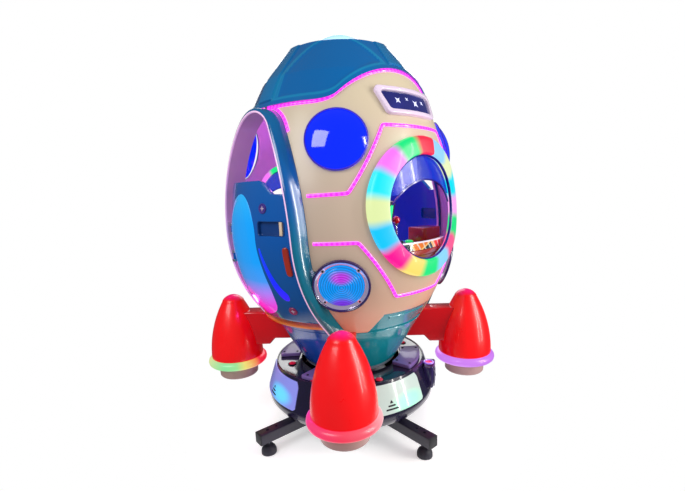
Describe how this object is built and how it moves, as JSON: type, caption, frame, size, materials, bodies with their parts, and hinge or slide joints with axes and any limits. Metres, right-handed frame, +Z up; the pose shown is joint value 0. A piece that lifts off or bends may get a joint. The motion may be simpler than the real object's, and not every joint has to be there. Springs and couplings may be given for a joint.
{
  "type": "rotating kiddie ride",
  "caption": "Egg-shaped capsule ride with half doors, lit portholes and rocket boosters, turned on a round base with levelling feet.",
  "frame": {"origin": "on the floor, under the middle of the cabin", "axes": "+Z up, -Y towards the cabin's front porthole and sign, doors on the +X and -X sides"},
  "size_m": [1.2876, 1.2876, 2.086],
  "materials": {
    "frame_black": "semi-gloss powder coat",
    "cap_black": "moulded",
    "drum_black": "gloss",
    "cover_grey": "satin",
    "panel_white": "translucent, lit from behind",
    "steel": "machined",
    "motor_grey": "painted casting",
    "box_plum": "gloss",
    "aluminium": "plain",
    "bolt_zinc": "zinc plated",
    "foot_rubber": "moulded",
    "coin_door": "brushed",
    "button_pink": "lit",
    "hub_iron": "painted",
    "slip_brass": "plain",
    "tube_grey": "satin",
    "floor_board": "lacquered board",
    "bowl_teal": "gloss gel coat",
    "shell_cream": "gloss gel coat",
    "cap_blue": "gloss gel coat",
    "dome_pale": "translucent, lit",
    "surround_blue": "gloss gel coat",
    "sill_orange": "satin",
    "trim_pink": "lit",
    "ring_lamp": "translucent, lit in colours",
    "visor_blue": "tinted",
    "dome_blue": "gloss",
    "lamp_chrome": "bright",
    "lens_cyan": "ribbed, lit",
    "bezel_lilac": "satin",
    "screen_navy": "dark",
    "fin_red": "gloss gel coat",
    "booster_red": "gloss gel coat",
    "booster_lamp": "translucent, lit in colours",
    "cap_grey": "satin",
    "dash_red": "gloss gel coat",
    "monitor_navy": "textured",
    "bench_wine": "gloss gel coat",
    "seat_blue": "soft grained vinyl",
    "gimbal_dark": "blackened",
    "lever_chrome": "bright",
    "button_green": "lit",
    "door_blue": "gloss gel coat",
    "latch_sand": "satin"
  },
  "bodies": {
    "base": {"base_frame": "frame_black", "tube_end_caps": "cap_black", "drum_shell": "drum_black", "deck_plate": "drum_black", "deck_covers": "cover_grey", "light_panels": "panel_white", "bearing_outer_race": "steel", "bearing_balls": "steel", "gear_motor": "motor_grey", "slip_ring_stator": "motor_grey", "control_box": "box_plum", "power_inlet": "cap_black", "power_supply": "aluminium", "base_bolts": "bolt_zinc"},
    "capsule": {"turntable_hub": "hub_iron", "bearing_inner_race": "steel", "ring_gear": "steel", "slip_ring_rotor": "slip_brass", "cabin_frame": "tube_grey", "cabin_floor": "floor_board", "lower_bowl": "bowl_teal", "front_shell": "shell_cream", "rear_shell": "shell_cream", "nose_cap": "cap_blue", "nose_light": "dome_pale", "left_door_surround": "surround_blue", "right_door_surround": "surround_blue", "door_sills": "sill_orange", "trim_lights": "trim_pink", "front_ring_light": "ring_lamp", "rear_ring_light": "ring_lamp", "porthole_visors": "visor_blue", "dome_windows": "dome_blue", "headlight_bezels": "lamp_chrome", "headlight_lenses": "lens_cyan", "display_bezel": "bezel_lilac", "display_screen": "screen_navy", "fins": "fin_red", "booster_shells": "booster_red", "booster_rings": "booster_lamp", "booster_caps": "cap_grey", "dash_console": "dash_red", "monitor": "monitor_navy", "seat_bench": "bench_wine", "seat_cushion": "seat_blue", "seat_back": "seat_blue"},
    "foot_1": {"foot_1": "foot_rubber"},
    "foot_2": {"foot_2": "foot_rubber"},
    "foot_3": {"foot_3": "foot_rubber"},
    "foot_4": {"foot_4": "foot_rubber"},
    "drive_pinion": {"drive_pinion": "steel"},
    "coin_door": {"coin_door": "coin_door"},
    "start_button": {"start_button": "button_pink"},
    "joystick_gimbal": {"joystick_gimbal": "gimbal_dark"},
    "joystick_lever": {"joystick_lever": "lever_chrome"},
    "dash_button": {"dash_button": "button_green"},
    "left_door": {"left_door": "door_blue"},
    "right_door": {"right_door": "door_blue"},
    "left_latch": {"left_latch": "latch_sand"},
    "right_latch": {"right_latch": "latch_sand"}
  },
  "joints": [
    {"name": "capsule_spin", "type": "hinge", "parent": "base", "child": "capsule", "pos_m": [0, 0, 0.16], "axis": [0, 0, 1], "continuous": true},
    {"name": "pinion_spin", "type": "hinge", "parent": "base", "child": "drive_pinion", "pos_m": [-0.23383, 0.135, 0.26], "axis": [0, 0, 1], "continuous": true},
    {"name": "left_door_hinge", "type": "hinge", "parent": "capsule", "child": "left_door", "pos_m": [-0.545, 0.262, 1.15], "axis": [0, 0, -1], "range_deg": [0, 95]},
    {"name": "left_latch_slide", "type": "slide", "parent": "left_door", "child": "left_latch", "axis": [-0.3616, 0.9323, 0], "range_m": [0, 0.012], "stiffness_N_per_m": 200, "springref_m": -0.01},
    {"name": "right_door_hinge", "type": "hinge", "parent": "capsule", "child": "right_door", "pos_m": [0.545, 0.262, 1.15], "axis": [0, 0, 1], "range_deg": [0, 95]},
    {"name": "right_latch_slide", "type": "slide", "parent": "right_door", "child": "right_latch", "axis": [0.3616, 0.9323, 0], "range_m": [0, 0.012], "stiffness_N_per_m": 200, "springref_m": -0.01},
    {"name": "start_button_press", "type": "slide", "parent": "base", "child": "start_button", "axis": [0, 0, -1], "range_m": [0, 0.005], "stiffness_N_per_m": 400, "springref_m": -0.004},
    {"name": "dash_button_press", "type": "slide", "parent": "capsule", "child": "dash_button", "axis": [0, 0, -1], "range_m": [0, 0.003], "stiffness_N_per_m": 400, "springref_m": -0.004},
    {"name": "coin_door_hinge", "type": "hinge", "parent": "base", "child": "coin_door", "pos_m": [0.21875, -0.4485, 0.292], "axis": [0, 0, -1], "range_deg": [0, 100]},
    {"name": "joystick_roll", "type": "hinge", "parent": "capsule", "child": "joystick_gimbal", "pos_m": [0.06, -0.32, 1.06], "axis": [1, 0, 0], "range_deg": [-20, 20], "stiffness_Nm_per_rad": 3},
    {"name": "joystick_pitch", "type": "hinge", "parent": "joystick_gimbal", "child": "joystick_lever", "pos_m": [0.06, -0.32, 1.06], "axis": [0, 1, 0], "range_deg": [-20, 20], "stiffness_Nm_per_rad": 3},
    {"name": "foot_1_screw", "type": "slide", "parent": "base", "child": "foot_1", "axis": [0, 0, -1], "range_m": [0, 0.015]},
    {"name": "foot_2_screw", "type": "slide", "parent": "base", "child": "foot_2", "axis": [0, 0, -1], "range_m": [0, 0.015]},
    {"name": "foot_3_screw", "type": "slide", "parent": "base", "child": "foot_3", "axis": [0, 0, -1], "range_m": [0, 0.015]},
    {"name": "foot_4_screw", "type": "slide", "parent": "base", "child": "foot_4", "axis": [0, 0, -1], "range_m": [0, 0.015]}
  ],
  "couplings": [
    {"joint": "pinion_spin", "follows": "capsule_spin", "ratio": -4}
  ]
}
